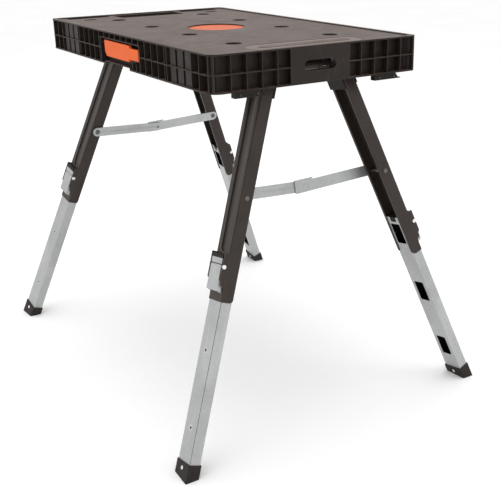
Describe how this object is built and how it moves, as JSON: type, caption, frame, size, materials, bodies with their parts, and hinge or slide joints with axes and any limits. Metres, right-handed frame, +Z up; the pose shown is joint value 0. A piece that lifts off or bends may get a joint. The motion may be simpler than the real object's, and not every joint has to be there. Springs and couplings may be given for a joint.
{
  "type": "folding work table",
  "caption": "Folding work table used as a sawhorse: ribbed plastic top with dog holes on two folding A-frames with telescoping, cam-locked legs.",
  "frame": {"origin": "on the floor, under the middle of the worktop, legs extended", "axes": "+Z up; +X along the worktop towards the end with the accessory brackets; -Y towards the side with the carry handle"},
  "size_m": [1.0266, 0.7852, 0.818],
  "materials": {
    "top_plastic": "dark brown-grey moulded plastic, fine grain",
    "orange_plastic": "orange moulded plastic",
    "black_plastic": "black moulded plastic",
    "leg_paint": "dark powder coat",
    "zinc_tube": "dull zinc plate",
    "zinc_sheet": "dull zinc plate, pressed sheet",
    "bright_steel": "bright zinc-plated fasteners",
    "foot_rubber": "black rubber"
  },
  "bodies": {
    "table_top": {"top_shell": "top_plastic", "centre_disc": "orange_plastic", "hinge_saddles": "leg_paint", "saddle_screws": "bright_steel", "accessory_brackets": "black_plastic", "bracket_screws": "bright_steel", "carry_handle_pin": "black_plastic"},
    "carry_flap": {"carry_handle": "orange_plastic"},
    "end_frame_clip": {"frame_tube_clip": "leg_paint", "leg_yokes_clip": "leg_paint", "leg_pivot_bolts_clip": "bright_steel"},
    "leg_clip_front": {"leg_head_clip_front": "black_plastic", "leg_channel_clip_front": "leg_paint", "stay_bolt_clip_front": "bright_steel", "lock_pin_clip_front": "bright_steel", "lock_cover_clip_front": "zinc_sheet", "lock_cap_clip_front": "black_plastic"},
    "lower_leg_clip_front": {"inner_tube_clip_front": "zinc_tube", "foot_clip_front": "foot_rubber", "foot_rivets_clip_front": "bright_steel"},
    "lever_clip_front": {"lock_lever_clip_front": "zinc_sheet"},
    "stay_clip_front": {"stay_link_clip_front": "zinc_sheet"},
    "leg_clip_rear": {"leg_head_clip_rear": "black_plastic", "leg_channel_clip_rear": "leg_paint", "stay_bolt_clip_rear": "bright_steel", "lock_pin_clip_rear": "bright_steel", "lock_cover_clip_rear": "zinc_sheet", "lock_cap_clip_rear": "black_plastic"},
    "lower_leg_clip_rear": {"inner_tube_clip_rear": "zinc_tube", "foot_clip_rear": "foot_rubber", "foot_rivets_clip_rear": "bright_steel"},
    "lever_clip_rear": {"lock_lever_clip_rear": "zinc_sheet"},
    "stay_clip_rear": {"stay_link_clip_rear": "zinc_sheet", "stay_rivet_clip": "bright_steel"},
    "end_frame_tray": {"frame_tube_tray": "leg_paint", "leg_yokes_tray": "leg_paint", "leg_pivot_bolts_tray": "bright_steel"},
    "leg_tray_front": {"leg_head_tray_front": "black_plastic", "leg_channel_tray_front": "leg_paint", "stay_bolt_tray_front": "bright_steel", "lock_pin_tray_front": "bright_steel", "lock_cover_tray_front": "zinc_sheet", "lock_cap_tray_front": "black_plastic"},
    "lower_leg_tray_front": {"inner_tube_tray_front": "zinc_tube", "foot_tray_front": "foot_rubber", "foot_rivets_tray_front": "bright_steel"},
    "lever_tray_front": {"lock_lever_tray_front": "zinc_sheet"},
    "stay_tray_front": {"stay_link_tray_front": "zinc_sheet"},
    "leg_tray_rear": {"leg_head_tray_rear": "black_plastic", "leg_channel_tray_rear": "leg_paint", "stay_bolt_tray_rear": "bright_steel", "lock_pin_tray_rear": "bright_steel", "lock_cover_tray_rear": "zinc_sheet", "lock_cap_tray_rear": "black_plastic"},
    "lower_leg_tray_rear": {"inner_tube_tray_rear": "zinc_tube", "foot_tray_rear": "foot_rubber", "foot_rivets_tray_rear": "bright_steel"},
    "lever_tray_rear": {"lock_lever_tray_rear": "zinc_sheet"},
    "stay_tray_rear": {"stay_link_tray_rear": "zinc_sheet", "stay_rivet_tray": "bright_steel"}
  },
  "joints": [
    {"name": "carry_handle_swing", "type": "hinge", "parent": "table_top", "child": "carry_flap", "pos_m": [0, -0.2435, 0.791], "axis": [-1, 0, 0], "range_deg": [0, 90]},
    {"name": "fold_clip", "type": "hinge", "parent": "table_top", "child": "end_frame_clip", "pos_m": [0.3522, 0, 0.77], "axis": [0, 1, 0], "range_deg": [0, 68]},
    {"name": "leg_swing_clip_front", "type": "hinge", "parent": "end_frame_clip", "child": "leg_clip_front", "pos_m": [0.3522, -0.0845, 0.77], "axis": [0.9855, 0, 0.1699], "range_deg": [0, 24.1]},
    {"name": "stay_swing_clip_front", "type": "hinge", "parent": "leg_clip_front", "child": "stay_clip_front", "pos_m": [0.39406, -0.1763, 0.52712], "axis": [0.9855, 0, 0.1699], "range_deg": [0, 45.99]},
    {"name": "leg_slide_clip_front", "type": "slide", "parent": "leg_clip_front", "child": "lower_leg_clip_front", "axis": [-0.1592, 0.3491, 0.9235], "range_m": [0, 0.105]},
    {"name": "lever_flip_clip_front", "type": "hinge", "parent": "leg_clip_front", "child": "lever_clip_front", "pos_m": [0.41539, -0.24602, 0.40339], "axis": [-0.9855, 0, -0.1699], "range_deg": [0, 90]},
    {"name": "leg_swing_clip_rear", "type": "hinge", "parent": "end_frame_clip", "child": "leg_clip_rear", "pos_m": [0.3522, 0.0845, 0.77], "axis": [-0.9855, 0, -0.1699], "range_deg": [0, 24.1]},
    {"name": "stay_swing_clip_rear", "type": "hinge", "parent": "leg_clip_rear", "child": "stay_clip_rear", "pos_m": [0.39406, 0.1763, 0.52712], "axis": [-0.9855, 0, -0.1699], "range_deg": [0, 45.99]},
    {"name": "leg_slide_clip_rear", "type": "slide", "parent": "leg_clip_rear", "child": "lower_leg_clip_rear", "axis": [-0.1592, -0.3491, 0.9235], "range_m": [0, 0.105]},
    {"name": "lever_flip_clip_rear", "type": "hinge", "parent": "leg_clip_rear", "child": "lever_clip_rear", "pos_m": [0.41539, 0.24602, 0.40339], "axis": [0.9855, 0, 0.1699], "range_deg": [0, 90]},
    {"name": "fold_tray", "type": "hinge", "parent": "table_top", "child": "end_frame_tray", "pos_m": [-0.3522, 0, 0.77], "axis": [0, -1, 0], "range_deg": [0, 68]},
    {"name": "leg_swing_tray_front", "type": "hinge", "parent": "end_frame_tray", "child": "leg_tray_front", "pos_m": [-0.3522, -0.0845, 0.77], "axis": [0.9855, 0, -0.1699], "range_deg": [0, 10.1]},
    {"name": "stay_swing_tray_front", "type": "hinge", "parent": "leg_tray_front", "child": "stay_tray_front", "pos_m": [-0.39406, -0.1763, 0.52712], "axis": [0.9855, 0, -0.1699], "range_deg": [0, 34.23]},
    {"name": "leg_slide_tray_front", "type": "slide", "parent": "leg_tray_front", "child": "lower_leg_tray_front", "axis": [0.1592, 0.3491, 0.9235], "range_m": [0, 0.105]},
    {"name": "lever_flip_tray_front", "type": "hinge", "parent": "leg_tray_front", "child": "lever_tray_front", "pos_m": [-0.41539, -0.24602, 0.40339], "axis": [-0.9855, 0, 0.1699], "range_deg": [0, 90]},
    {"name": "leg_swing_tray_rear", "type": "hinge", "parent": "end_frame_tray", "child": "leg_tray_rear", "pos_m": [-0.3522, 0.0845, 0.77], "axis": [-0.9855, 0, 0.1699], "range_deg": [0, 10.1]},
    {"name": "stay_swing_tray_rear", "type": "hinge", "parent": "leg_tray_rear", "child": "stay_tray_rear", "pos_m": [-0.39406, 0.1763, 0.52712], "axis": [-0.9855, 0, 0.1699], "range_deg": [0, 34.23]},
    {"name": "leg_slide_tray_rear", "type": "slide", "parent": "leg_tray_rear", "child": "lower_leg_tray_rear", "axis": [0.1592, -0.3491, 0.9235], "range_m": [0, 0.105]},
    {"name": "lever_flip_tray_rear", "type": "hinge", "parent": "leg_tray_rear", "child": "lever_tray_rear", "pos_m": [-0.41539, 0.24602, 0.40339], "axis": [0.9855, 0, -0.1699], "range_deg": [0, 90]}
  ],
  "couplings": [
    {"joint": "leg_swing_clip_front", "follows": "fold_clip", "ratio": 0.35294},
    {"joint": "stay_swing_clip_front", "follows": "fold_clip", "ratio": 0.67488},
    {"joint": "leg_swing_clip_rear", "follows": "fold_clip", "ratio": 0.35294},
    {"joint": "stay_swing_clip_rear", "follows": "fold_clip", "ratio": 0.67488},
    {"joint": "leg_swing_tray_front", "follows": "fold_tray", "ratio": 0.14706},
    {"joint": "stay_swing_tray_front", "follows": "fold_tray", "ratio": 0.50193},
    {"joint": "leg_swing_tray_rear", "follows": "fold_tray", "ratio": 0.14706},
    {"joint": "stay_swing_tray_rear", "follows": "fold_tray", "ratio": 0.50193}
  ]
}
